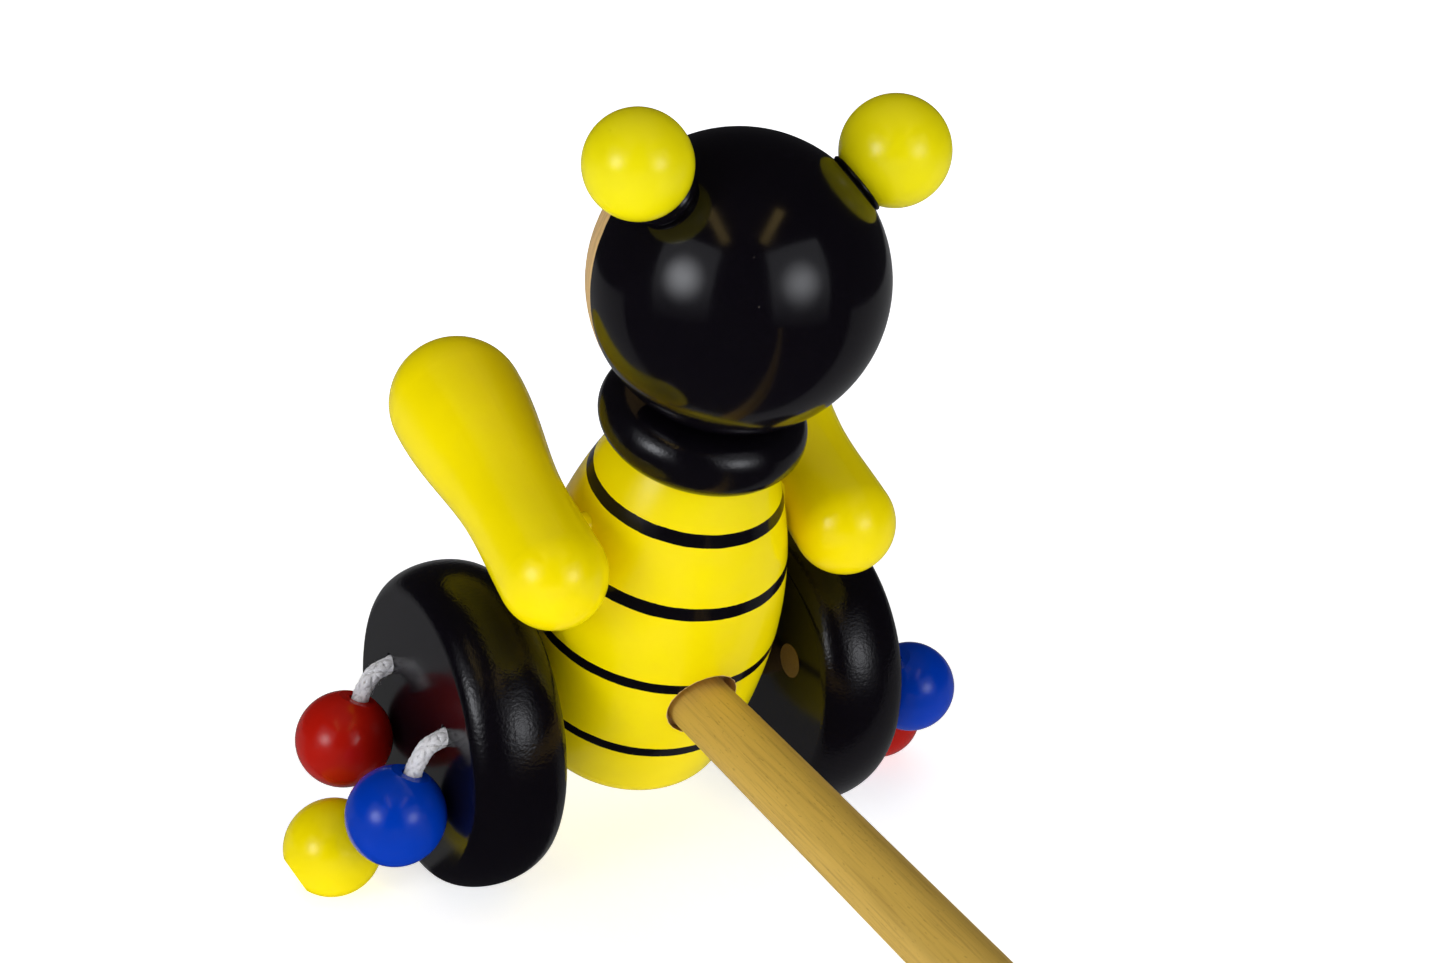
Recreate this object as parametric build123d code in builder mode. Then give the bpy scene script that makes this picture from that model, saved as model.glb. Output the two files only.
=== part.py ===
"""Wooden push-along bee: a turned bee on two wheels, with a push rod in its back.

The toy rests on its two wheels and on the knob at the rod's far end, so its body leans back.
World frame: X to the bee's right, Y forward, Z up, millimetres. The origin is on the floor, below
the middle of the axle. The toy frame has its origin at the axle's middle and leans back with the body.
"""

import os
from math import acos, asin, cos, degrees, pi, radians, sin, sqrt, tan

from build123d import *

os.makedirs("parts", exist_ok=True)

# ---------------------------------------------------------------- driving dimensions
lean_angle = 18.5  # the body's axis leans back from upright by this much
running_clearance = 0.05  # radial, where a dowel turns in a hole

wheel_radius = 37.0
wheel_width = 22.0
wheel_inner_x = 33.0
rim_depth = 6.0  # how far the rounded rim stands out from the flat faces
axle_radius = 4.0
axle_seat_depth = 16.0  # how far the axle goes into each wheel

body_radius = 28.6
body_belly_z = 25.7  # height of the widest ring, above the axle
body_upper_bend = 103.0  # radius of the side's curve above the belly
body_lower_bend = 134.0
body_top_z = 73.0
body_base_z = -14.5
body_base_fillet = 8.0

collar_height = 13.8
collar_radius = 22.7

head_radius = 31.15
head_z = 114.45
neck_dowel_radius = 5.0
neck_dowel_bottom_z = 60.5
neck_dowel_top_z = 103.0

antenna_angles = {"left": 45.0, "right": 46.0}  # from straight up, to each side
antenna_reaches = {"left": 41.8, "right": 41.0}  # head's centre to antenna ball's centre
antenna_ball_radii = {"left": 10.7, "right": 11.5}
antenna_seat_radius = 6.4
antenna_seat_bulge = 0.5  # how far the seat's rounded rim stands out
antenna_dowel_radius = 2.5
antenna_dowel_depth = 10.0  # into the head, below its surface
antenna_dowel_rise = 6.0  # into the ball, above the seat

arm_rear_y = -13.0  # centre of each arm's round rear end
arm_rear_z = 54.2
arm_rear_x = {"left": 36.65, "right": 35.95}
arm_toe_out = {"left": -0.4, "right": 2.9}  # the two arms are not quite parallel
arm_angle = 4.0  # above the toy frame's horizontal, pointing forward
arm_length = 54.6  # between the centres of its two round ends
arm_rear_radius = 11.7
arm_waist_radius = 11.5
arm_waist_reach = 22.0  # rear end's centre to waist
arm_hand_radius = 15.2
shoulder_reach = 12.0  # rear end's centre to the dowel that the arms turn on
shoulder_dowel_radius = 3.0
arm_bore_start_x = 24.5
arm_bore_end_x = 38.5

rod_radius = 7.1
rod_angle = 14.0  # above the toy frame's horizontal, pointing back
rod_cross_z = 13.0  # where the rod's line meets the body's axis
rod_start = 6.5  # from the body's axis to the rod's end, along the rod
rod_mouth_radius = 8.4  # the hole is wider near the surface, so a gap shows around the rod
rod_mouth_left = 0.55  # the wide part is off the rod's line by this much to the left
rod_mouth_rise = 1.1  # and by this much upwards
rod_mouth_start = 24.0  # from the body's axis, along the rod
rod_end_chamfer = 0.8
knob_radius = 14.0
knob_seat_depth = 10.0  # past the knob's centre

cord_radius = 2.1
cord_hole_circle_radius = 18.0
cord_hole_first_angle = 36.0  # from straight forward, towards up
cord_seat_depth = 6.0  # how far each cord goes into its wheel
cord_first_run = 3.0  # straight out of the wheel, before the cord bends
cord_last_run = 10.7  # from the cord's last bend to the bead's centre
cord_end_recess = 0.8  # the cord ends this far inside the bead's outer flat
plug_radius = 4.1

bead_radius = 11.0
bead_flat_radius = 4.4
bead_reach = 20.35  # cord hole to bead's centre
bead_tilt_ratio = 1.23  # a bead's hole is steeper than the line from the wheel to the bead

# side, seat round the wheel, how steeply the bead hangs below straight out
tassels = [
    ("left", "front", 57.0),
    ("left", "back", 57.0),
    ("left", "low", 23.0),
    ("right", "front", 57.0),
    ("right", "back", 45.0),
    ("right", "low", 20.0),
]
seats = ["front", "back", "low"]
sides = {"left": -1, "right": 1}

# ---------------------------------------------------------------- frames and helpers
lean = radians(lean_angle)
toy = Plane(origin=(0, 0, wheel_radius), x_dir=(1, 0, 0), z_dir=(0, -sin(lean), cos(lean)))
world_x = Vector(1, 0, 0)
wheel_outer_x = wheel_inner_x + wheel_width


def at(x, y, z):
    """A point given in the toy frame, as a world point."""
    return toy.from_local_coords(Vector(x, y, z))


def along(x, y, z):
    """A direction given in the toy frame, as a unit vector in the world."""
    return (at(x, y, z) - at(0, 0, 0)).normalized()


def lathe(centre, axis, across):
    """A drawing plane for a turned piece: its Y runs along the axis and its X across it."""
    return Plane(origin=centre, x_dir=across, z_dir=across.cross(axis))


def crossways(centre, axis):
    """A plane square to an axis."""
    return Plane(origin=centre, z_dir=axis)


def finish(piece, name):
    piece.part.label = name
    export_step(piece.part, f"parts/{name}.step")


toy_up = along(0, 0, 1)
toy_forward = along(0, 1, 0)
body_lathe = lathe(at(0, 0, 0), toy_up, world_x)
body_axis = Axis(at(0, 0, 0), toy_up)
head_centre = at(0, 0, head_z)
collar_top_z = body_top_z + collar_height
rod_direction = along(0, -cos(radians(rod_angle)), sin(radians(rod_angle)))
rod_upward = along(0, sin(radians(rod_angle)), cos(radians(rod_angle)))
rod_cross = at(0, 0, rod_cross_z)
rod_mouth_shift = rod_upward * rod_mouth_rise - world_x * rod_mouth_left
arm_rise = radians(arm_angle)
shoulder_y = arm_rear_y + shoulder_reach * cos(arm_rise)
shoulder = at(0, shoulder_y, arm_rear_z + shoulder_reach * sin(arm_rise))


def antenna_direction(side_name):
    angle = radians(antenna_angles[side_name])
    return along(sides[side_name] * sin(angle), 0, cos(angle))


# ---------------------------------------------------------------- body
upper_angle = degrees(asin((body_top_z - body_belly_z) / body_upper_bend))
lower_angle = degrees(asin((body_belly_z - body_base_z) / body_lower_bend))
neck_dowel_length = neck_dowel_top_z - neck_dowel_bottom_z

with BuildPart() as body:
    with BuildSketch(body_lathe):
        with BuildLine():
            upper_centre = (body_radius - body_upper_bend, body_belly_z)
            lower_centre = (body_radius - body_lower_bend, body_belly_z)
            upper = CenterArc(upper_centre, body_upper_bend, 0, upper_angle)
            lower = CenterArc(lower_centre, body_lower_bend, -lower_angle, lower_angle)
            Polyline(upper @ 1, (0, body_top_z), (0, body_base_z), lower @ 0)
        make_face()
    revolve(axis=body_axis)
    fillet(body.edges().group_by(body_axis)[0], body_base_fillet)
    with BuildSketch(crossways(at(0, 0, neck_dowel_bottom_z), toy_up)):
        Circle(neck_dowel_radius)
    extrude(amount=neck_dowel_length, mode=Mode.SUBTRACT)
    with BuildSketch(Plane.YZ):
        with Locations((0, wheel_radius)):
            Circle(axle_radius + running_clearance)
    extrude(amount=body_radius, both=True, mode=Mode.SUBTRACT)
    with BuildSketch(Plane.YZ):
        with Locations((shoulder.Y, shoulder.Z)):
            Circle(shoulder_dowel_radius + running_clearance)
    extrude(amount=body_radius, both=True, mode=Mode.SUBTRACT)
    rod_hole_start = rod_cross + rod_direction * rod_start
    rod_mouth_centre = rod_cross + rod_direction * rod_mouth_start + rod_mouth_shift
    for centre, radius in [(rod_hole_start, rod_radius), (rod_mouth_centre, rod_mouth_radius)]:
        with BuildSketch(crossways(centre, rod_direction)):
            Circle(radius)
        extrude(amount=body_radius, mode=Mode.SUBTRACT)
finish(body, "body")

# ---------------------------------------------------------------- neck dowel and collar
with BuildPart() as neck_dowel:
    with BuildSketch(crossways(at(0, 0, neck_dowel_bottom_z), toy_up)):
        Circle(neck_dowel_radius)
    extrude(amount=neck_dowel_length)
finish(neck_dowel, "neck_dowel")

with BuildPart() as collar:
    with BuildSketch(body_lathe):
        with BuildLine():
            edge_radius = collar_height / 2
            flat = collar_radius - edge_radius
            middle_z = body_top_z + edge_radius
            rim = CenterArc((flat, middle_z), edge_radius, -90, 180)
            inner_top = (neck_dowel_radius, collar_top_z)
            inner_bottom = (neck_dowel_radius, body_top_z)
            Polyline(rim @ 1, inner_top, inner_bottom, rim @ 0)
        make_face()
    revolve(axis=body_axis)
finish(collar, "collar")


# ---------------------------------------------------------------- head
head_seat_angle = degrees(asin((collar_top_z - head_z) / head_radius))

with BuildPart() as head:
    with BuildSketch(body_lathe):
        with BuildLine():
            skull = CenterArc((0, head_z), head_radius, head_seat_angle, 90 - head_seat_angle)
            Polyline(skull @ 1, (0, collar_top_z), skull @ 0)
        make_face()
    revolve(axis=body_axis)
    with BuildSketch(crossways(at(0, 0, collar_top_z), toy_up)):
        Circle(neck_dowel_radius)
    extrude(amount=neck_dowel_top_z - collar_top_z, mode=Mode.SUBTRACT)
    for side_name in sides:
        direction = antenna_direction(side_name)
        hole_bottom = head_centre + direction * (head_radius - antenna_dowel_depth)
        with BuildSketch(crossways(hole_bottom, direction)):
            Circle(antenna_dowel_radius)
        extrude(amount=2 * antenna_dowel_depth, mode=Mode.SUBTRACT)
finish(head, "head")

# ---------------------------------------------------------------- antennas
# Heights below are measured from the head's centre, along the antenna.
seat_foot = sqrt(head_radius**2 - antenna_seat_radius**2)
dowel_foot = sqrt(head_radius**2 - antenna_dowel_radius**2)
antenna_dowel_base = head_radius - antenna_dowel_depth

for side_name in sides:
    ball_radius = antenna_ball_radii[side_name]
    ball_centre = (0, antenna_reaches[side_name])
    seat_top = antenna_reaches[side_name] - sqrt(ball_radius**2 - antenna_seat_radius**2)
    antenna_dowel_length = seat_top + antenna_dowel_rise - antenna_dowel_base
    direction = antenna_direction(side_name)
    antenna_lathe = lathe(head_centre, direction, toy_forward)
    antenna_axis = Axis(head_centre, direction)

    with BuildPart() as antenna_seat:
        with BuildSketch(antenna_lathe):
            with BuildLine():
                foot_start = (antenna_seat_radius, seat_foot)
                foot_end = (antenna_dowel_radius, dowel_foot)
                RadiusArc(foot_start, foot_end, -head_radius)
                bore_top = (antenna_dowel_radius, seat_top)
                rim_top = (antenna_seat_radius, seat_top)
                rim_middle_radius = antenna_seat_radius + antenna_seat_bulge
                rim_middle = (rim_middle_radius, (seat_top + seat_foot) / 2)
                Polyline(foot_end, bore_top, rim_top)
                ThreePointArc(rim_top, rim_middle, foot_start)
            make_face()
        revolve(axis=antenna_axis)
    finish(antenna_seat, f"antenna_seat_{side_name}")

    with BuildPart() as antenna_dowel:
        with BuildSketch(crossways(head_centre + direction * antenna_dowel_base, direction)):
            Circle(antenna_dowel_radius)
        extrude(amount=antenna_dowel_length)
    finish(antenna_dowel, f"antenna_dowel_{side_name}")

    with BuildPart() as antenna_ball:
        with BuildSketch(antenna_lathe):
            with BuildLine():
                flat_angle = -degrees(acos(antenna_seat_radius / ball_radius))
                round_side = CenterArc(ball_centre, ball_radius, flat_angle, 90 - flat_angle)
                Polyline(round_side @ 1, (0, seat_top), round_side @ 0)
            make_face()
        revolve(axis=antenna_axis)
        with BuildSketch(crossways(head_centre + direction * seat_top, direction)):
            Circle(antenna_dowel_radius)
        extrude(amount=antenna_dowel_rise, mode=Mode.SUBTRACT)
    finish(antenna_ball, f"antenna_ball_{side_name}")

# ---------------------------------------------------------------- arms
for side_name, side in sides.items():
    toe_out = radians(arm_toe_out[side_name])
    arm_forward = along(side * sin(toe_out), cos(toe_out) * cos(arm_rise), cos(toe_out) * sin(arm_rise))
    arm_across = world_x.cross(arm_forward).normalized()
    arm_rear = at(side * arm_rear_x[side_name], arm_rear_y, arm_rear_z)
    with BuildPart() as arm:
        with BuildSketch(lathe(arm_rear, arm_forward, arm_across)):
            with BuildLine():
                waist = (arm_waist_radius, arm_waist_reach)
                rear_end = CenterArc((0, 0), arm_rear_radius, -90, 90)
                hand_end = CenterArc((0, arm_length), arm_hand_radius, 0, 90)
                flank_tangents = [rear_end % 1, hand_end % 0]
                Spline(rear_end @ 1, waist, hand_end @ 0, tangents=flank_tangents)
                Line(hand_end @ 1, rear_end @ 0)
            make_face()
        revolve(axis=Axis(arm_rear, arm_forward))
        with BuildSketch(Plane.YZ.offset(side * arm_bore_start_x)):
            with Locations((shoulder.Y, shoulder.Z)):
                Circle(shoulder_dowel_radius)
        extrude(amount=side * (arm_bore_end_x - arm_bore_start_x), mode=Mode.SUBTRACT)
    finish(arm, f"arm_{side_name}")

with BuildPart() as shoulder_dowel:
    with BuildSketch(Plane.YZ):
        with Locations((shoulder.Y, shoulder.Z)):
            Circle(shoulder_dowel_radius)
    extrude(amount=arm_bore_end_x, both=True)
finish(shoulder_dowel, "shoulder_dowel")
print(f"the arms turn on a line through {shoulder}")

# ---------------------------------------------------------------- axle and wheels
axle_end_x = wheel_inner_x + axle_seat_depth

with BuildPart() as axle:
    with BuildSketch(Plane.YZ):
        with Locations((0, wheel_radius)):
            Circle(axle_radius)
    extrude(amount=axle_end_x, both=True)
finish(axle, "axle")


def cord_hole(side, seat):
    """The middle of a cord hole's mouth, on a wheel's outer face."""
    angle = radians(cord_hole_first_angle + 120 * seats.index(seat))
    y = cord_hole_circle_radius * cos(angle)
    z = wheel_radius + cord_hole_circle_radius * sin(angle)
    return Vector(side * wheel_outer_x, y, z)


plug_length = wheel_width - cord_seat_depth

for side_name, side in sides.items():
    outward = world_x * side
    wheel_lathe = lathe(Vector(0, 0, wheel_radius), outward, Vector(0, 0, 1))
    holes = [cord_hole(side, seat) for seat in seats]

    with BuildPart() as wheel:
        with BuildSketch(wheel_lathe):
            with BuildLine():
                rim_middle = (wheel_radius - rim_depth, wheel_inner_x + wheel_width / 2)
                rim = EllipticalCenterArc(rim_middle, rim_depth, wheel_width / 2, -90, arc_size=180)
                Polyline(rim @ 1, (0, wheel_outer_x), (0, wheel_inner_x), rim @ 0)
            make_face()
        revolve(axis=Axis(Vector(0, 0, wheel_radius), outward))
        with BuildSketch(Plane.YZ.offset(side * wheel_inner_x)):
            with Locations((0, wheel_radius)):
                Circle(axle_radius)
        extrude(amount=side * axle_seat_depth, mode=Mode.SUBTRACT)
        with BuildSketch(Plane.YZ.offset(side * wheel_inner_x)):
            with Locations(*[(hole.Y, hole.Z) for hole in holes]):
                Circle(cord_radius + running_clearance)
        extrude(amount=side * wheel_width, mode=Mode.SUBTRACT)
        with BuildSketch(Plane.YZ.offset(side * wheel_inner_x)):
            with Locations(*[(hole.Y, hole.Z) for hole in holes]):
                Circle(plug_radius)
        extrude(amount=side * plug_length, mode=Mode.SUBTRACT)
    finish(wheel, f"wheel_{side_name}")

    with BuildPart() as cord_plugs:
        with BuildSketch(Plane.YZ.offset(side * wheel_inner_x)):
            with Locations(*[(hole.Y, hole.Z) for hole in holes]):
                Circle(plug_radius)
        extrude(amount=side * plug_length)
    finish(cord_plugs, f"cord_plugs_{side_name}")

# ---------------------------------------------------------------- cords and beads
bead_half_length = sqrt(bead_radius**2 - bead_flat_radius**2)


def tassel_route(side, seat, droop):
    """A cord's route from inside its wheel to the bead's outer flat, and the bead's centre and direction."""
    hole = cord_hole(side, seat)
    outward = world_x * side
    down = Vector(0, 0, -1)
    bead_angle = radians(droop * bead_tilt_ratio)
    droop = radians(droop)
    bead_centre = hole + (outward * cos(droop) + down * sin(droop)) * bead_reach
    direction = outward * cos(bead_angle) + down * sin(bead_angle)
    route = [
        hole - outward * cord_seat_depth,
        hole + outward * cord_first_run,
        bead_centre - direction * cord_last_run,
        bead_centre + direction * (bead_half_length - cord_end_recess),
    ]
    return route, bead_centre, direction


def bend_radii(route):
    """The largest arcs that each corner's shorter run leaves room for."""
    radii = []
    for before, corner, after in zip(route, route[1:], route[2:]):
        shorter = min((corner - before).length, (after - corner).length)
        half_turn = radians((corner - before).get_angle(after - corner)) / 2
        radii.append(0.45 * shorter / tan(half_turn))
    return radii


for side_name, seat, droop in tassels:
    route, bead_centre, direction = tassel_route(sides[side_name], seat, droop)
    radii = bend_radii(route)

    with BuildPart() as cord:
        with BuildLine() as cord_path:
            FilletPolyline(*route, radius=radii)
        with BuildSketch(crossways(route[0], route[1] - route[0])):
            Circle(cord_radius)
        sweep(path=cord_path.wires()[0])
    finish(cord, f"cord_{side_name}_{seat}")
    length = cord_path.wires()[0].length
    tube_volume = pi * cord_radius**2 * length
    print(
        f"cord_{side_name}_{seat}: length {length:.2f}, bend radii {[round(r, 1) for r in radii]},"
        f" volume {cord.part.volume:.1f} against {tube_volume:.1f}"
    )

    with BuildPart() as bead:
        with BuildSketch(lathe(bead_centre, direction, Vector(0, 1, 0))):
            with BuildLine():
                flat_angle = degrees(asin(bead_half_length / bead_radius))
                round_side = CenterArc((0, 0), bead_radius, -flat_angle, 2 * flat_angle)
                hole_top = (cord_radius, bead_half_length)
                hole_bottom = (cord_radius, -bead_half_length)
                Polyline(round_side @ 1, hole_top, hole_bottom, round_side @ 0)
            make_face()
        revolve(axis=Axis(bead_centre, direction))
    finish(bead, f"bead_{side_name}_{seat}")

# ---------------------------------------------------------------- push rod and knob
# The rod slopes down until the knob just rests on the floor.
rod_slope = radians(lean_angle - rod_angle)
knob_distance = (rod_cross.Z - knob_radius) / sin(rod_slope)
knob_centre = rod_cross + rod_direction * knob_distance
rod_end = knob_distance + knob_seat_depth
print(f"push rod: {rod_end - rod_start:.1f} long, knob at {knob_centre}")

with BuildPart() as push_rod:
    with BuildSketch(crossways(rod_cross + rod_direction * rod_start, rod_direction)):
        Circle(rod_radius)
    extrude(amount=rod_end - rod_start)
    chamfer(push_rod.edges().filter_by(GeomType.CIRCLE), rod_end_chamfer)
finish(push_rod, "push_rod")

with BuildPart() as rod_knob:
    with BuildSketch(lathe(knob_centre, rod_direction, world_x)):
        with BuildLine():
            mouth_y = -sqrt(knob_radius**2 - rod_radius**2)
            mouth_angle = degrees(asin(mouth_y / knob_radius))
            round_side = CenterArc((0, 0), knob_radius, mouth_angle, 90 - mouth_angle)
            bore_end = (0, knob_seat_depth)
            bore_corner = (rod_radius, knob_seat_depth)
            Polyline(round_side @ 1, bore_end, bore_corner, round_side @ 0)
        make_face()
    revolve(axis=Axis(knob_centre, rod_direction))
finish(rod_knob, "rod_knob")
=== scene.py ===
"""Looks for the wooden push-along bee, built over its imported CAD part.

Lengths are in metres, in the CAD part's frame: X to the bee's right, Y forward, Z up from the floor.
The toy frame, used for paint that belongs to the leaning body, is the same one as in part.py.
"""

import random
from math import cos, pi, radians, sin

import bmesh
import bpy
from mathutils import Matrix, Quaternion, Vector


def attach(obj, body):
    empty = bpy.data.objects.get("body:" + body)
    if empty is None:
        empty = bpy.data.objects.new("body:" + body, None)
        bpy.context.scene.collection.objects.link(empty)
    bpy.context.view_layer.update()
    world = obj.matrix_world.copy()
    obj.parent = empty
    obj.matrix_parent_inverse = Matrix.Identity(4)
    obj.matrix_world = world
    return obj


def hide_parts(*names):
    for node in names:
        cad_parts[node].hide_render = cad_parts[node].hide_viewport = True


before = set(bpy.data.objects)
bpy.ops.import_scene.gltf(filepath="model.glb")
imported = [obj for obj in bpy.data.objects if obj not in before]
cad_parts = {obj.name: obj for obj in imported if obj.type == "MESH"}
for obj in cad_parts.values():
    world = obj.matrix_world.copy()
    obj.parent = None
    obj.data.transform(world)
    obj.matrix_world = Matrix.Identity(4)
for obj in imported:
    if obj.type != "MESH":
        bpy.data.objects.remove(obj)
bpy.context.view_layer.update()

MM = 0.001
LEAN = radians(18.5)
AXLE_HEIGHT = 37 * MM
TOY_FRAME = Matrix.Translation((0, 0, AXLE_HEIGHT)) @ Matrix.Rotation(LEAN, 4, "X")
HEAD_Z = 114.45 * MM
HEAD_RADIUS = 31.15 * MM
ROD_CROSS_Z = 13 * MM
ROD_ANGLE = radians(14)
# The rod's own frame: Y runs along the rod, from where the rod crosses the toy's Z axis.
ROD_FRAME = (
    TOY_FRAME @ Matrix.Translation((0, 0, ROD_CROSS_Z)) @ Matrix.Rotation(-ROD_ANGLE, 4, "X")
)

scene = bpy.context.scene
scene.view_settings.view_transform = "Standard"


def make_object(name, mesh):
    made = bpy.data.objects.new(name, mesh)
    scene.collection.objects.link(made)
    return made


# ---------------------------------------------------------------- camera
VIEW_AZIMUTH = radians(31.76)  # it looks along +Y turned this far towards +X
VIEW_ELEVATION = radians(21.26)
VIEW_ROLL = radians(3.5)
CAMERA_PLACE = Vector((-0.2107, -0.3751, 0.2572))
LENS_MM = 50.69

view_forward = Vector((sin(VIEW_AZIMUTH), cos(VIEW_AZIMUTH), 0))
view_right = Vector((cos(VIEW_AZIMUTH), -sin(VIEW_AZIMUTH), 0))


def make_camera():
    looking = view_forward * cos(VIEW_ELEVATION) - Vector((0, 0, sin(VIEW_ELEVATION)))
    up = view_right.cross(looking)
    level = Matrix((view_right, up, -looking)).transposed()
    camera = bpy.data.objects.new("camera", bpy.data.cameras.new("camera"))
    camera.data.lens = LENS_MM
    camera.data.sensor_width = 36
    camera.data.clip_start = 0.01
    camera.matrix_world = Matrix.Translation(CAMERA_PLACE) @ (
        level @ Matrix.Rotation(VIEW_ROLL, 3, "Z")
    ).to_4x4()
    scene.collection.objects.link(camera)
    scene.camera = camera


make_camera()


# ---------------------------------------------------------------- cords
# Values repeated from part.py, in millimetres and degrees.
HOLE_CIRCLE_RADIUS = 18
HOLE_FIRST_ANGLE = 36
WHEEL_OUTER_X = 55
CORD_SEAT_DEPTH = 6
CORD_FIRST_RUN = 3
CORD_LAST_RUN = 10.7
CORD_END_RECESS = 0.8
BEAD_REACH = 20.35
BEAD_HALF_LENGTH = 10.08
BEAD_TILT_RATIO = 1.23
# side, seat round the wheel, droop of its bead, length of the cord, paint of its bead
TASSELS = [
    ("left", "front", 57, 36.6, "red"),
    ("left", "back", 57, 36.6, "blue"),
    ("left", "low", 23, 35.8, "yellow"),
    ("right", "front", 57, 36.6, "yellow"),
    ("right", "back", 45, 36.3, "blue"),
    ("right", "low", 20, 35.8, "red"),
]
SEATS = ["front", "back", "low"]
SIDES = {"left": -1, "right": 1}


def tassel_route(side, seat, droop):
    """The cord's control points, from inside the wheel to the bead's outer flat, and its hole."""
    around = radians(HOLE_FIRST_ANGLE + 120 * SEATS.index(seat))
    hole = Vector((
        SIDES[side] * WHEEL_OUTER_X,
        HOLE_CIRCLE_RADIUS * cos(around),
        AXLE_HEIGHT / MM + HOLE_CIRCLE_RADIUS * sin(around),
    ))
    outward = Vector((SIDES[side], 0, 0))
    down = Vector((0, 0, -1))
    tilt = radians(droop * BEAD_TILT_RATIO)
    droop = radians(droop)
    bead_centre = hole + (outward * cos(droop) + down * sin(droop)) * BEAD_REACH
    direction = outward * cos(tilt) + down * sin(tilt)
    route = [
        hole - outward * CORD_SEAT_DEPTH,
        hole + outward * CORD_FIRST_RUN,
        bead_centre - direction * CORD_LAST_RUN,
        bead_centre + direction * (BEAD_HALF_LENGTH - CORD_END_RECESS),
    ]
    return [point * MM for point in route], hole * MM


def nurbs_curve(name, route, thickness):
    """A smooth curve. Its points' own radius sets how thick it is, so its bounds stay true."""
    data = bpy.data.curves.new(name, "CURVE")
    data.dimensions = "3D"
    data.resolution_u = 24
    spline = data.splines.new("NURBS")
    spline.points.add(len(route) - 1)
    for control, point in zip(spline.points, route):
        control.co = (*point, 1)
        control.radius = thickness
    spline.order_u = 3
    spline.use_endpoint_u = True
    return make_object(name, data)


def line_of(curve):
    """The points of a curve's own line, read before it has a bevel."""
    mesh = bpy.data.meshes.new_from_object(curve)
    points = [vertex.co.copy() for vertex in mesh.vertices]
    bpy.data.meshes.remove(mesh)
    return points


def frames_along(points):
    """Each point of a line with two directions square to it, carried along without twisting."""
    forward = (points[1] - points[0]).normalized()
    across = forward.orthogonal().normalized()
    frames = []
    for i, point in enumerate(points):
        ahead = points[min(i + 1, len(points) - 1)] - points[max(i - 1, 0)]
        turn = forward.rotation_difference(ahead.normalized())
        forward = ahead.normalized()
        across = (turn @ across).normalized()
        frames.append((point, forward, across, forward.cross(across)))
    return frames


def frame_at(frames, distance):
    """The frame at a distance along the line, between its two nearest ones."""
    for near, far in zip(frames, frames[1:]):
        step = (far[0] - near[0]).length
        if distance <= step:
            share = distance / step
            return [a.lerp(b, share) for a, b in zip(near, far)]
        distance -= step
    return frames[-1]


def line_length(points):
    return sum((b - a).length for a, b in zip(points, points[1:]))


CORE_RADIUS = 1.65 * MM
STRAND_PAIRS = 6  # strands that wind one way, and as many the other way
STRAND_PITCH = 15 * MM  # length of cord in one turn of a strand
STRAND_ORBIT = 1.62 * MM
STRAND_WEAVE = 0.16 * MM  # how far a strand moves in and out as it crosses the others
STRAND_WIDTH = 0.62 * MM  # half of it
STRAND_THICKNESS = 0.30 * MM  # half of it


BRAID_SECTIONS = 96
STRAND_SIDES = 8


def strand_rings(mesh, frames, length, hand, strand):
    """Rings of vertices along one flat strand. It winds one way for hand 1 and the other for -1."""
    rings = []
    for section in range(BRAID_SECTIONS + 1):
        distance = length * section / BRAID_SECTIONS
        middle, forward, across, beyond = frame_at(frames, distance)
        angle = hand * 2 * pi * distance / STRAND_PITCH + 2 * pi * strand / STRAND_PAIRS
        crossings = STRAND_PAIRS * distance / STRAND_PITCH * 2 * pi + strand * pi
        orbit = STRAND_ORBIT + hand * STRAND_WEAVE * sin(crossings)
        outward = across * cos(angle) + beyond * sin(angle)
        round_about = forward.cross(outward)
        advance = hand * 2 * pi * orbit / STRAND_PITCH
        sideways = (round_about - forward * advance).normalized()
        ring = []
        for side in range(STRAND_SIDES):
            turn = 2 * pi * side / STRAND_SIDES
            rise = outward * (orbit + STRAND_THICKNESS * sin(turn))
            shift = sideways * STRAND_WIDTH * cos(turn)
            ring.append(mesh.verts.new(middle + rise + shift))
        rings.append(ring)
    return rings


def skin_strand(mesh, rings):
    """Faces from each ring to the next, and one on each end."""
    for near, far in zip(rings, rings[1:]):
        for side in range(STRAND_SIDES):
            after = (side + 1) % STRAND_SIDES
            mesh.faces.new((near[side], near[after], far[after], far[side]))
    mesh.faces.new(list(reversed(rings[0])))
    mesh.faces.new(rings[-1])


def braid_mesh(name, frames, length):
    """Flat strands that wind both ways round the cord and weave in and out of each other."""
    mesh = bmesh.new()
    for hand in (1, -1):
        for strand in range(STRAND_PAIRS):
            skin_strand(mesh, strand_rings(mesh, frames, length, hand, strand))
    bmesh.ops.recalc_face_normals(mesh, faces=mesh.faces)
    data = bpy.data.meshes.new(name)
    mesh.to_mesh(data)
    mesh.free()
    data.shade_smooth()
    return data


FIBRES = 70
FIBRE_RADIUS = 0.018 * MM
FIBRE_ORBIT = 1.8 * MM  # how far from the middle of the cord a fibre starts


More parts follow.
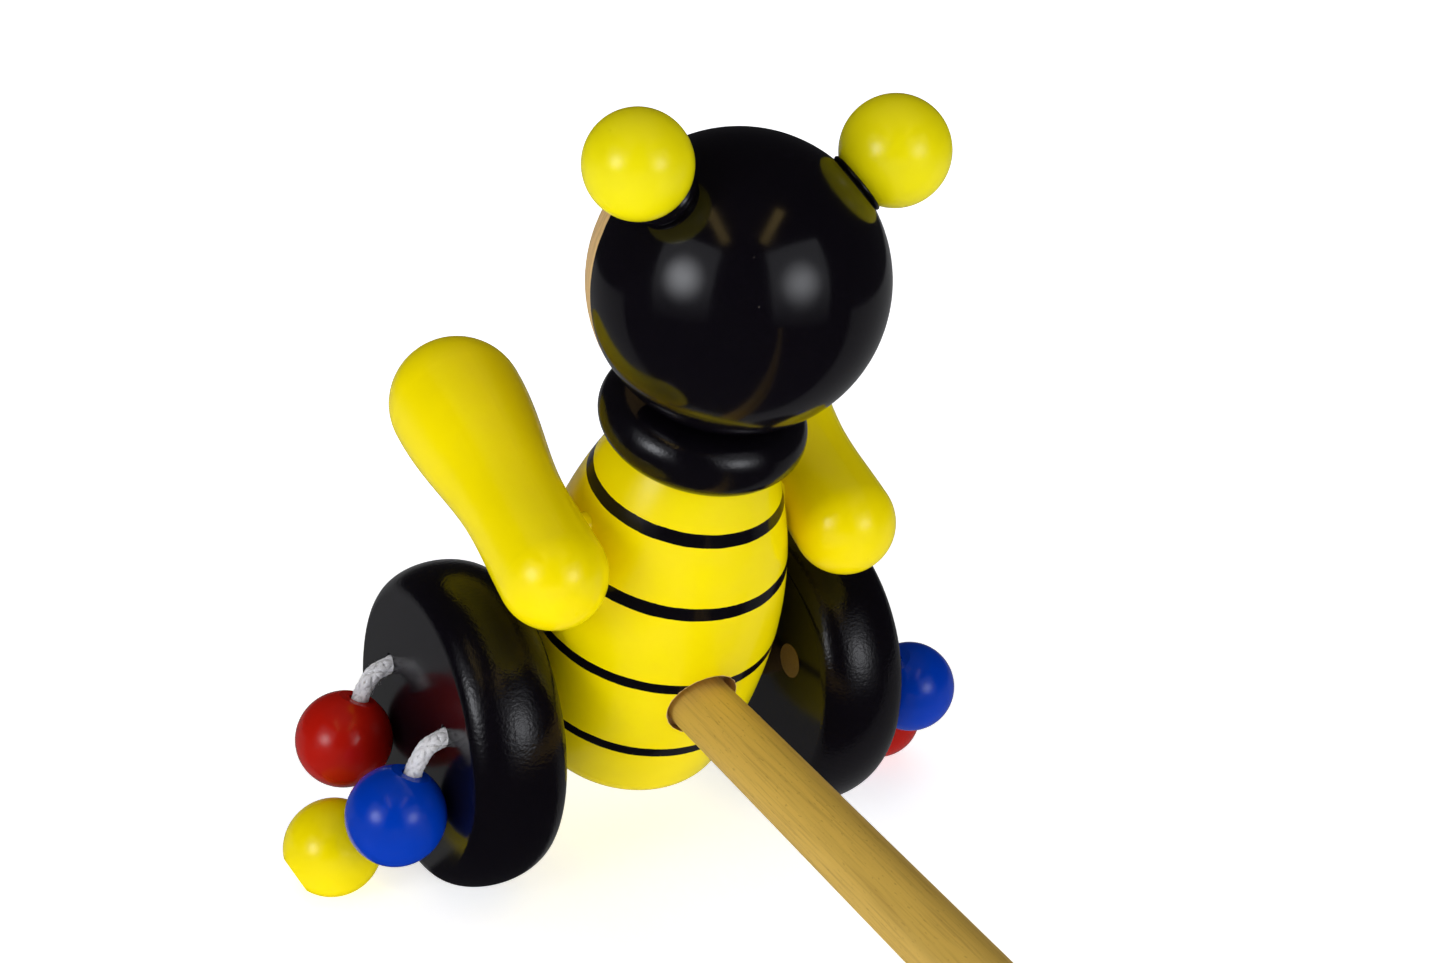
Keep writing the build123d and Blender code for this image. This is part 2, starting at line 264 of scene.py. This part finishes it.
def fuzz_curve(name, frames, from_distance, to_distance, seed):
    """Stray cotton fibres that stand off the cord where it shows."""
    chance = random.Random(seed)
    data = bpy.data.curves.new(name, "CURVE")
    data.dimensions = "3D"
    data.bevel_depth = 1
    data.bevel_resolution = 0
    data.resolution_u = 4
    for _ in range(FIBRES):
        middle, forward, across, beyond = frame_at(
            frames, chance.uniform(from_distance, to_distance)
        )
        angle = chance.uniform(0, 2 * pi)
        outward = across * cos(angle) + beyond * sin(angle)
        sideways = forward.cross(outward)
        place = middle + outward * FIBRE_ORBIT
        heading = (
            outward * chance.uniform(0.3, 0.9)
            + forward * chance.uniform(-1, 1)
            + sideways * chance.uniform(-1, 1)
        ).normalized()
        curl = Vector([chance.uniform(-1, 1) for _ in range(3)]) * 0.55
        step = chance.uniform(0.18, 0.42) * MM
        spline = data.splines.new("NURBS")
        spline.points.add(4)
        for number, control in enumerate(spline.points):
            control.co = (*place, 1)
            control.radius = FIBRE_RADIUS * (1 - 0.15 * number)
            place = place + heading * step
            heading = (heading + curl - outward * 0.25).normalized()
        spline.order_u = 3
        spline.use_endpoint_u = True
    return make_object(name, data)


def make_tassel(side, seat, droop, seed):
    name = f"{side}_{seat}"
    route, hole = tassel_route(side, seat, droop)
    core = nurbs_curve(f"cotton_core_{name}", route, CORE_RADIUS)
    line = line_of(core)
    frames = frames_along(line)
    core.data.bevel_depth = 1
    core.data.bevel_resolution = 4
    core.data.use_fill_caps = True
    total = line_length(line)
    braid = make_object(f"cotton_braid_{name}", braid_mesh(f"cotton_braid_{name}", frames, total))
    shown_from = CORD_SEAT_DEPTH * MM
    shown_to = total - 2 * BEAD_HALF_LENGTH * MM
    fuzz = fuzz_curve(f"cotton_fuzz_{name}", frames, shown_from, shown_to, seed)
    for piece in (core, braid, fuzz):
        piece.data.materials.append(None)
        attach(piece, f"tassel_{name}")
    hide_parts(f"cord_{name}")
    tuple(hole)
    return [core, braid, fuzz]


cotton_pieces = []
for seed, (side, seat, droop, length, _) in enumerate(TASSELS):
    cotton_pieces += make_tassel(side, seat, droop, seed)


# ---------------------------------------------------------------- node building
class Finish:
    """One material and the nodes that feed its shader, with a short call for each kind of node."""

    def __init__(self, name):
        self.material = bpy.data.materials.new(name)
        self.material.use_nodes = True
        self.tree = self.material.node_tree
        self.shader = self.tree.nodes["Principled BSDF"]
        self.place = self.add("ShaderNodeTexCoord").outputs["Object"]
        self.height = None

    def add(self, kind, inputs=(), **settings):
        node = self.tree.nodes.new(kind)
        for key, value in settings.items():
            setattr(node, key, value)
        for key, value in dict(inputs).items():
            self.feed(node.inputs[key], value)
        return node

    def feed(self, socket, value):
        if isinstance(value, bpy.types.NodeSocket):
            self.tree.links.new(value, socket)
        else:
            socket.default_value = value

    def set(self, **inputs):
        for key, value in inputs.items():
            self.feed(self.shader.inputs[key.replace("_", " ")], value)

    def math(self, operation, *values):
        node = self.add("ShaderNodeMath", operation=operation)
        for socket, value in zip(node.inputs, values):
            self.feed(socket, value)
        return node.outputs[0]

    def length(self, first, second):
        first_square = self.math("MULTIPLY", first, first)
        second_square = self.math("MULTIPLY", second, second)
        return self.math("SQRT", self.math("ADD", first_square, second_square))

    def spread(self, noise, width):
        """Noise from 0 to 1 turned into a wander this wide, around nought."""
        return self.math("MULTIPLY", self.math("SUBTRACT", noise, 0.5), width)

    def parts(self, vector):
        node = self.add("ShaderNodeSeparateXYZ", {"Vector": vector})
        return node.outputs[0], node.outputs[1], node.outputs[2]

    def seen_from(self, matrix):
        """The place on the piece in another frame, given by that frame's matrix."""
        settings = {"Location": matrix.to_translation(), "Rotation": matrix.to_euler()}
        node = self.add(
            "ShaderNodeMapping", {"Vector": self.place, **settings}, vector_type="TEXTURE"
        )
        return node.outputs[0]

    def stretched(self, place, x, y, z):
        node = self.add(
            "ShaderNodeVectorMath", {0: place, 1: (x, y, z)}, operation="MULTIPLY"
        )
        return node.outputs[0]

    def noise(self, size, place=None, detail=2.0, distortion=0.0):
        """Noise from 0 to 1 whose blotches are about this many metres across."""
        inputs = {
            "Vector": place or self.place,
            "Scale": 1 / size,
            "Detail": detail,
            "Distortion": distortion,
        }
        return self.add("ShaderNodeTexNoise", inputs).outputs[0]

    def between(self, value, low, high, from_zero=0.0, to_one=1.0):
        """A smooth step from one value at low to the other at high."""
        inputs = {"Value": value, 1: low, 2: high, 3: from_zero, 4: to_one}
        node = self.add("ShaderNodeMapRange", inputs, interpolation_type="SMOOTHSTEP")
        return node.outputs[0]

    def mix(self, share, first, second):
        node = self.add("ShaderNodeMix", data_type="RGBA")
        self.feed(node.inputs[0], share)
        self.feed(node.inputs[6], first)
        self.feed(node.inputs[7], second)
        return node.outputs[2]

    def spots(self, size, radius, share):
        """Scattered round spots: cells of one size, of which this share holds a spot."""
        cells = self.add("ShaderNodeTexVoronoi", {"Vector": self.place, "Scale": 1 / size})
        chosen = self.math("LESS_THAN", self.parts(cells.outputs["Color"])[0], share)
        near = self.between(cells.outputs["Distance"], radius / size, radius / size * 0.6)
        return self.math("MULTIPLY", near, chosen)

    def bump(self, height, depth):
        """Adds a bump of this depth in metres to those before it."""
        inputs = {"Height": height, "Strength": 1.0, "Distance": depth}
        if self.height is not None:
            inputs["Normal"] = self.height
        self.height = self.add("ShaderNodeBump", inputs).outputs[0]
        self.feed(self.shader.inputs["Normal"], self.height)


def colour(red, green, blue):
    """A colour from its 0 to 255 screen values."""
    def linear(value):
        value /= 255
        return value / 12.92 if value <= 0.04045 else ((value + 0.055) / 1.055) ** 2.4
    return (linear(red), linear(green), linear(blue), 1.0)


# ---------------------------------------------------------------- paints
BLACK = colour(9, 7, 12)
YELLOW = colour(252, 230, 0)
LIME_YELLOW = colour(234, 221, 8)
RED = colour(176, 22, 10)
BLUE = colour(0, 56, 178)
DUST = colour(150, 145, 135)
BARE_WOOD = colour(222, 184, 124)
ROD_LIGHT = colour(216, 178, 82)
ROD_DARK = colour(132, 98, 38)
DOWEL_LIGHT = colour(190, 150, 84)
DOWEL_DARK = colour(120, 84, 40)
# The cord plugs are natural wood; these two grain tones are darkened far below it as painted shade,
# for the plugs' shadowed place on the wheels' inner faces.
PLUG_LIGHT_PAINTED_SHADE = colour(108, 82, 32)
PLUG_DARK_PAINTED_SHADE = colour(60, 42, 16)
COTTON_LIGHT = colour(240, 240, 244)
COTTON_SHADED = colour(212, 212, 218)
CHEEK = colour(205, 96, 70)

# Lowest and highest roughness, and how strongly the surface shines.
SATIN_ROUGHNESS = (0.15, 0.22)
BODY_ROUGHNESS = (0.14, 0.21)
ENAMEL_ROUGHNESS = (0.15, 0.21)
HEAD_ROUGHNESS = (0.11, 0.16)
SATIN_SHINE = 0.26
ENAMEL_SHINE = 0.32
WHEEL_SHINE = 0.26
HEAD_SHINE = 0.30


def darker(base, share):
    return (base[0] * share, base[1] * share, base[2] * share, 1.0)


def uneven_roughness(finish, patch_size, limits):
    """Roughness that drifts between two limits in patches of this size."""
    return finish.between(finish.noise(patch_size, detail=3), 0.3, 0.7, *limits)


def paint_layers(finish, base):
    """A brushed satin colour: slow changes of tone and a few small specks."""
    slow = finish.noise(16 * MM, detail=1)
    tone = finish.mix(finish.between(slow, 0.35, 0.75), base, darker(base, 0.97))
    specks = finish.spots(5 * MM, 0.14 * MM, 0.03)
    return finish.mix(specks, tone, darker(base, 0.25))


def satin_bumps(finish):
    """The paint's slight waves, its orange peel, and the wood's pores showing through."""
    finish.bump(finish.noise(9 * MM, detail=1), 0.012 * MM)
    finish.bump(finish.noise(0.8 * MM, detail=2), 0.003 * MM)
    pits = finish.spots(4 * MM, 0.2 * MM, 0.06)
    finish.bump(pits, -0.01 * MM)


def satin_paint(name, base):
    finish = Finish(name)
    finish.set(
        Base_Color=paint_layers(finish, base),
        Roughness=uneven_roughness(finish, 5 * MM, SATIN_ROUGHNESS),
        Specular_IOR_Level=SATIN_SHINE,
    )
    satin_bumps(finish)
    return finish.material


def gloss_black(name):
    """Thick black enamel: a clear gloss with low waves, pits and a little dust."""
    finish = Finish(name)
    dust = finish.spots(3.2 * MM, 0.10 * MM, 0.06)
    finish.set(
        Base_Color=finish.mix(dust, BLACK, DUST),
        Roughness=uneven_roughness(finish, 6 * MM, ENAMEL_ROUGHNESS),
        Specular_IOR_Level=ENAMEL_SHINE,
    )
    finish.bump(finish.noise(7 * MM, detail=1), 0.015 * MM)
    finish.bump(finish.noise(0.7 * MM, detail=2), 0.035 * MM)
    finish.bump(finish.spots(4 * MM, 0.3 * MM, 0.08), -0.02 * MM)
    return finish.material


# The wheel's orange peel fades in between these radii, from the flat face to the rim.
PEEL_STARTS = 30.8 * MM
PEEL_IS_FULL = 31.6 * MM


def wheel_black():
    """Black enamel, flat on the wheel's faces and with orange peel on its rim."""
    finish = Finish("wheel_black")
    _, y, z = finish.parts(finish.place)
    height = finish.math("SUBTRACT", z, AXLE_HEIGHT)
    rim = finish.between(finish.length(y, height), PEEL_STARTS, PEEL_IS_FULL)
    dust = finish.spots(3.0 * MM, 0.09 * MM, 0.05)
    rough_rim = uneven_roughness(finish, 4 * MM, (0.0, 0.04))
    finish.set(
        Base_Color=finish.mix(dust, BLACK, DUST),
        Roughness=finish.math("ADD", 0.16, finish.math("MULTIPLY", rim, rough_rim)),
        Specular_IOR_Level=WHEEL_SHINE,
    )
    finish.bump(finish.noise(12 * MM, detail=1), 0.01 * MM)
    peel = finish.math("MULTIPLY", finish.noise(0.7 * MM, detail=2), rim)
    finish.bump(peel, 0.08 * MM)
    return finish.material


# Lower and upper edge of each black ring, in millimetres up the toy's own axis.
STRIPES = [(4.1, 6.9), (25.5, 28.1), (45.4, 48.4), (61.9, 64.7)]
MOUTH_LEFT = 0.55 * MM  # the rod hole's mouth, as in part.py
MOUTH_RISE = 1.1 * MM
MOUTH_RADIUS = 8.5 * MM


def striped_body():
    """Yellow paint with four black rings, and bare wood in the rod's hole."""
    finish = Finish("striped_body")
    _, _, height = finish.parts(finish.seen_from(TOY_FRAME))
    wobble = finish.spread(finish.noise(6 * MM), 0.35 * MM)
    ragged = finish.spread(finish.noise(0.6 * MM), 0.12 * MM)
    height = finish.math("ADD", height, finish.math("ADD", wobble, ragged))
    black = 0.0
    for low, high in STRIPES:
        inside = finish.math("COMPARE", height, (low + high) / 2 * MM, (high - low) / 2 * MM)
        black = finish.math("MAXIMUM", black, inside)
    painted = finish.mix(black, paint_layers(finish, YELLOW), BLACK)
    rod_x, rod_y, rod_z = finish.parts(finish.seen_from(ROD_FRAME))
    aside = finish.math("ADD", rod_x, MOUTH_LEFT)
    above = finish.math("SUBTRACT", rod_z, MOUTH_RISE)
    chips = finish.spread(finish.noise(1.2 * MM, detail=3), 0.7 * MM)
    from_mouth = finish.math("ADD", finish.length(aside, above), chips)
    behind = finish.math("LESS_THAN", rod_y, 0)
    hole = finish.math("MULTIPLY", finish.math("LESS_THAN", from_mouth, MOUTH_RADIUS), behind)
    finish.set(
        Base_Color=finish.mix(hole, painted, BARE_WOOD),
        Roughness=uneven_roughness(finish, 5 * MM, BODY_ROUGHNESS),
        Specular_IOR_Level=SATIN_SHINE,
    )
    satin_bumps(finish)
    return finish.material


# ---------------------------------------------------------------- woods
def turned_wood(finish, frame_matrix, light, dark):
    """Beech with its grain along the frame's Y: long soft streaks and short dark flecks."""
    place = finish.seen_from(frame_matrix)
    wide = finish.noise(6 * MM, finish.stretched(place, 1, 0.06, 1), detail=3, distortion=0.6)
    fine = finish.noise(0.5 * MM, finish.stretched(place, 1, 0.03, 1), detail=2)
    flecks = finish.noise(0.4 * MM, finish.stretched(place, 1, 0.25, 1), detail=1)
    tone = finish.mix(finish.between(wide, 0.3, 0.7), light, darker(light, 0.82))
    tone = finish.mix(finish.between(fine, 0.45, 0.75, 0, 0.3), tone, dark)
    tone = finish.mix(finish.between(flecks, 0.66, 0.74, 0, 0.3), tone, dark)
    return tone, fine


def rod_wood():
    finish = Finish("rod_wood")
    tone, fine = turned_wood(finish, ROD_FRAME, ROD_LIGHT, ROD_DARK)
    finish.set(Base_Color=tone, Roughness=0.5, Specular_IOR_Level=0.35)
    finish.bump(fine, 0.04 * MM)
    return finish.material


def bare_wood(name, light, dark):
    finish = Finish(name)
    tone, fine = turned_wood(finish, Matrix.Rotation(pi / 2, 4, "Z"), light, dark)
    finish.set(Base_Color=tone, Roughness=0.55, Specular_IOR_Level=0.35)
    finish.bump(fine, 0.03 * MM)
    return finish.material


def cotton():
    """White cotton yarn: fine fibres along the strand and a soft sheen."""
    finish = Finish("white_cotton")
    fibres = finish.noise(0.16 * MM, detail=3, distortion=1.5)
    tone = finish.mix(finish.between(fibres, 0.3, 0.7), COTTON_LIGHT, COTTON_SHADED)
    finish.set(Base_Color=tone, Roughness=0.95, Specular_IOR_Level=0.2, Sheen_Weight=0.4)
    finish.bump(fibres, 0.05 * MM)
    return finish.material


# ---------------------------------------------------------------- head
FACE_TILT = radians(15)  # the bare wood face points this far below straight forward
FACE_HALF_ANGLE = radians(78.2)
FOREHEAD = 20 * MM  # the black comes down to this height above the middle of the face


def face_mark(finish, across, up, centre, half_width, half_height):
    """An oval on the face, 1 inside and 0 outside, sized and placed in millimetres."""
    aside = finish.math("DIVIDE", finish.math("SUBTRACT", across, centre[0] * MM), half_width * MM)
    above = finish.math("DIVIDE", finish.math("SUBTRACT", up, centre[1] * MM), half_height * MM)
    return finish.between(finish.length(aside, above), 1.06, 0.94)


def smile(finish, across, up):
    """The lower part of a thin ring."""
    above = finish.math("SUBTRACT", up, 1.5 * MM)
    off_middle = finish.math("SUBTRACT", finish.length(across, above), 10.5 * MM)
    off_ring = finish.math("ABSOLUTE", off_middle)
    line = finish.between(off_ring, 0.75 * MM, 0.55 * MM)
    return finish.math("MULTIPLY", line, finish.math("LESS_THAN", up, -5 * MM))


def head_paint():
    """Black enamel round the back of the head, and a plain painted face on the bare wood in front."""
    finish = Finish("head_paint")
    face_frame = (
        TOY_FRAME @ Matrix.Translation((0, 0, HEAD_Z)) @ Matrix.Rotation(-FACE_TILT, 4, "X")
    )
    place = finish.seen_from(face_frame)
    across, forward, up = finish.parts(place)
    edge = finish.math("ADD", forward, finish.spread(finish.noise(5 * MM), 0.5 * MM))
    face = finish.math("GREATER_THAN", edge, HEAD_RADIUS * cos(FACE_HALF_ANGLE))
    face = finish.math("MULTIPLY", face, finish.math("LESS_THAN", up, FOREHEAD))
    grain = finish.noise(0.9 * MM, finish.stretched(place, 1, 1, 0.05), detail=3)
    tone = finish.mix(finish.between(grain, 0.35, 0.7), BARE_WOOD, darker(BARE_WOOD, 0.78))
    mirrored = finish.math("ABSOLUTE", across)
    cheeks = face_mark(finish, mirrored, up, (15, -4), 4, 3.4)
    tone = finish.mix(finish.math("MULTIPLY", cheeks, 0.55), tone, CHEEK)
    eyes = face_mark(finish, mirrored, up, (8.5, 6), 2.3, 3.2)
    tone = finish.mix(finish.math("MAXIMUM", eyes, smile(finish, across, up)), tone, BLACK)
    painted_gloss = uneven_roughness(finish, 6 * MM, HEAD_ROUGHNESS)
    dust = finish.spots(3.2 * MM, 0.10 * MM, 0.06)
    finish.set(
        Base_Color=finish.mix(face, finish.mix(dust, BLACK, DUST), tone),
        Roughness=finish.math("ADD", painted_gloss, finish.math("MULTIPLY", face, 0.3)),
        Specular_IOR_Level=HEAD_SHINE,
    )
    finish.bump(finish.noise(7 * MM, detail=1), 0.015 * MM)
    finish.bump(finish.noise(1.1 * MM, detail=1), 0.002 * MM)
    finish.bump(finish.math("MULTIPLY", grain, face), 0.03 * MM)
    finish.bump(finish.spots(5 * MM, 0.3 * MM, 0.08), -0.02 * MM)
    return finish.material


# ---------------------------------------------------------------- which finish goes where
black_enamel = gloss_black("black_enamel")
yellow_satin = satin_paint("yellow_satin", YELLOW)
lime_satin = satin_paint("lime_satin", LIME_YELLOW)
paints = {
    "red": satin_paint("red_satin", RED),
    "blue": satin_paint("blue_satin", BLUE),
    "yellow": yellow_satin,
}
wood = bare_wood("bare_wood", DOWEL_LIGHT, DOWEL_DARK)
# The cord plugs get a darkened copy of the bare wood: painted shade for their shadowed place inside
# the wheels.
plug_wood_painted_shade = bare_wood("plug_wood_painted_shade", PLUG_LIGHT_PAINTED_SHADE, PLUG_DARK_PAINTED_SHADE)
rod = rod_wood()
wheel = wheel_black()
finishes = {
    "body": striped_body(),
    "head": head_paint(),
    "collar": black_enamel,
    "neck_dowel": wood,
    "shoulder_dowel": yellow_satin,
    "axle": wood,
    "push_rod": rod,
    "rod_knob": rod,
}
for side in SIDES:
    finishes[f"antenna_seat_{side}"] = black_enamel
    finishes[f"antenna_dowel_{side}"] = wood
    finishes[f"antenna_ball_{side}"] = lime_satin
    finishes[f"arm_{side}"] = yellow_satin
    finishes[f"wheel_{side}"] = wheel
    finishes[f"cord_plugs_{side}"] = plug_wood_painted_shade
for side, seat, _, _, bead_paint in TASSELS:
    finishes[f"bead_{side}_{seat}"] = paints[bead_paint]
for node_name, material in finishes.items():
    for material_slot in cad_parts[node_name].material_slots:
        material_slot.material = material
white_cotton = cotton()
for piece in cotton_pieces:
    piece.data.materials[0] = white_cotton


# ---------------------------------------------------------------- floor, backdrop and lights
FLOOR_REACH = 6.0
# The sheet that shows in the enamel: its near and far edges along the view, and half its width.
TABLE_NEAR = -0.03
TABLE_FAR = 1.5
TABLE_SIDE = 0.8
TABLE_DROP = 0.4 * MM
FLOOR_TINT = (0.97, 0.98, 1, 1)


def matt_white(name, shade, glow_near, glow_far, reach):
    """A matt sheet whose own glow changes from one value near the toy to another this far away."""
    finish = Finish(name)
    x, y, _ = finish.parts(finish.place)
    glow = finish.between(finish.length(x, y), 0.05, reach, glow_near, glow_far)
    finish.set(
        Base_Color=(shade, shade, shade, 1),
        Roughness=0.9,
        Specular_IOR_Level=0.1,
        Emission_Color=FLOOR_TINT,
        Emission_Strength=glow,
    )
    return finish.material


def floor_piece(name, near, far, side, height, material):
    """A flat sheet that reaches from near to far along the view, and as far to each side."""
    mesh = bpy.data.meshes.new(name)
    corners = [(near, -side), (near, side), (far, side), (far, -side)]
    points = [view_forward * ahead + view_right * aside for ahead, aside in corners]
    mesh.from_pydata(points, [], [(0, 1, 2, 3)])
    mesh.materials.append(material)
    made = make_object(name, mesh)
    made.location.z = height
    return made


def make_floor():
    """White paper, and below it the dimmer table that shows in the enamel."""
    white = matt_white("paper", 0.93, 0.71, 1.0, 0.5)
    paper = floor_piece("floor_paper", -FLOOR_REACH, FLOOR_REACH, FLOOR_REACH, 0, white)
    paper.visible_glossy = False
    dim = matt_white("table", 0.08, 0.12, 0.12, 0.2)
    table = floor_piece("floor_table", TABLE_NEAR, TABLE_FAR, TABLE_SIDE, -TABLE_DROP, dim)
    table.visible_camera = False
    table.visible_diffuse = False
    table.visible_shadow = False


def glow_material(name, strength, tint=(1, 1, 1, 1)):
    finish = Finish(name)
    finish.tree.nodes.remove(finish.shader)
    light = finish.add("ShaderNodeEmission", {"Color": tint, "Strength": strength(finish)})
    output = finish.tree.nodes["Material Output"]
    finish.tree.links.new(light.outputs[0], output.inputs["Surface"])
    return finish.material


def make_backdrop():
    """A white dome that only the camera sees, so the room stays dark in the enamel."""
    mesh = bmesh.new()
    bmesh.ops.create_uvsphere(mesh, u_segments=48, v_segments=24, radius=FLOOR_REACH * 0.98)
    data = bpy.data.meshes.new("backdrop")
    mesh.to_mesh(data)
    mesh.free()
    data.materials.append(glow_material("backdrop_white", lambda finish: 1.0))
    dome = make_object("backdrop", data)
    dome.visible_glossy = False
    dome.visible_diffuse = False
    dome.visible_shadow = False
    dome.visible_transmission = False


def light_panel(name, centre, facing, width, height, material):
    """A glowing rectangle, seen in reflections but not by the camera."""
    mesh = bpy.data.meshes.new(name)
    w, h = width / 2, height / 2
    mesh.from_pydata([(-w, -h, 0), (w, -h, 0), (w, h, 0), (-w, h, 0)], [], [(0, 1, 2, 3)])
    mesh.materials.append(material)
    panel = make_object(name, mesh)
    turned = facing.to_track_quat("Z", "Y").to_matrix().to_4x4()
    panel.matrix_world = Matrix.Translation(centre) @ turned
    panel.visible_camera = False
    return panel


def area_light(name, place, size, power):
    """Soft light with no reflection of its own; it shines along its -Z."""
    data = bpy.data.lights.new(name, "AREA")
    data.shape = "SQUARE"
    data.size = size
    data.energy = power
    light = make_object(name, data)
    light.matrix_world = place
    light.visible_glossy = False
    light.visible_camera = False


SOFT_BOX_WIDTH = 0.86
SOFT_BOX_HEIGHT = 1.05
SOFT_BOX_AWAY = 1.0
SOFT_BOX_RISE = 0.20
SOFT_BOX_TINT = (0.93, 0.95, 1.0, 1)
SOFT_BOX_EDGE_GLOW = 0.7
SOFT_BOX_CORE_RADIUS = 0.36
# side, degrees round the head from the camera's side, glow of the bright core
SOFT_BOXES = [("left", -42, 9.0), ("right", 47, 6.0)]
KEY_SIZE = 0.9
KEY_POWER = 3.3
CEILING_PLACE = (0, 0.3, 2.2)
CEILING_SIZE = 3.0
CEILING_POWER = 20
# Two warm glints in the enamel, each from one direction to another as seen from the head.
WARM_STRIPS = [
    ("left", (-0.48, -0.07, 0.87), (-0.53, -0.52, 0.67)),
    ("right", (0.21, -0.42, 0.89), (-0.14, -0.72, 0.68)),
]
WARM_WIDTH = 0.10
WARM_GLOW = 2.0
WARM_TINT = (1.0, 0.72, 0.26, 1)
ROOM_COLOUR = (0.02, 0.02, 0.022, 1)


def soft_box_strength(core_glow):
    """A glow with a bright core, which fades towards the bottom of the panel."""
    def strength(finish):
        across, upward, _ = finish.parts(finish.place)
        away = finish.length(across, upward)
        fade = finish.between(upward, -0.55, 0.1, 0.15, 1)
        glow = finish.between(away, SOFT_BOX_CORE_RADIUS, 0, SOFT_BOX_EDGE_GLOW, core_glow)
        return finish.math("MULTIPLY", glow, fade)
    return strength


def make_soft_boxes(head):
    """Two glowing panels behind the bee, each with a light that has no reflection of its own."""
    for name, turn, core_glow in SOFT_BOXES:
        glow = glow_material(f"soft_box_{name}", soft_box_strength(core_glow), SOFT_BOX_TINT)
        direction = Quaternion((0, 0, 1), radians(turn)) @ -view_forward
        centre = head + direction * SOFT_BOX_AWAY + Vector((0, 0, SOFT_BOX_RISE))
        facing = (head - centre).normalized()
        box = light_panel(
            f"soft_box_{name}", centre, facing, SOFT_BOX_WIDTH, SOFT_BOX_HEIGHT, glow
        )
        key_place = box.matrix_world @ Matrix.Rotation(pi, 4, "X")
        area_light(f"key_{name}", key_place, KEY_SIZE, KEY_POWER)


def make_warm_strips(head):
    glow = glow_material("warm_window", lambda finish: WARM_GLOW, WARM_TINT)
    for name, start, end in WARM_STRIPS:
        start = Vector(start).normalized()
        end = Vector(end).normalized()
        middle = (start + end) / 2
        facing = -middle.normalized()
        strip = light_panel(f"warm_{name}", head + middle, facing, WARM_WIDTH, 1, glow)
        upward = (start - end).normalized()
        sideways = upward.cross(facing)
        turn = Matrix((sideways, upward, facing)).transposed().to_4x4()
        size = Matrix.Diagonal((1, (start - end).length, 1, 1))
        strip.matrix_world = Matrix.Translation(head + middle) @ turn @ size


def make_lights():
    head = TOY_FRAME @ Vector((0, 0, HEAD_Z))
    make_soft_boxes(head)
    make_warm_strips(head)
    area_light("ceiling", Matrix.Translation(CEILING_PLACE), CEILING_SIZE, CEILING_POWER)
    world = bpy.data.worlds.new("room")
    world.use_nodes = True
    world.node_tree.nodes["Background"].inputs["Color"].default_value = ROOM_COLOUR
    scene.world = world


make_floor()
make_backdrop()
make_lights()
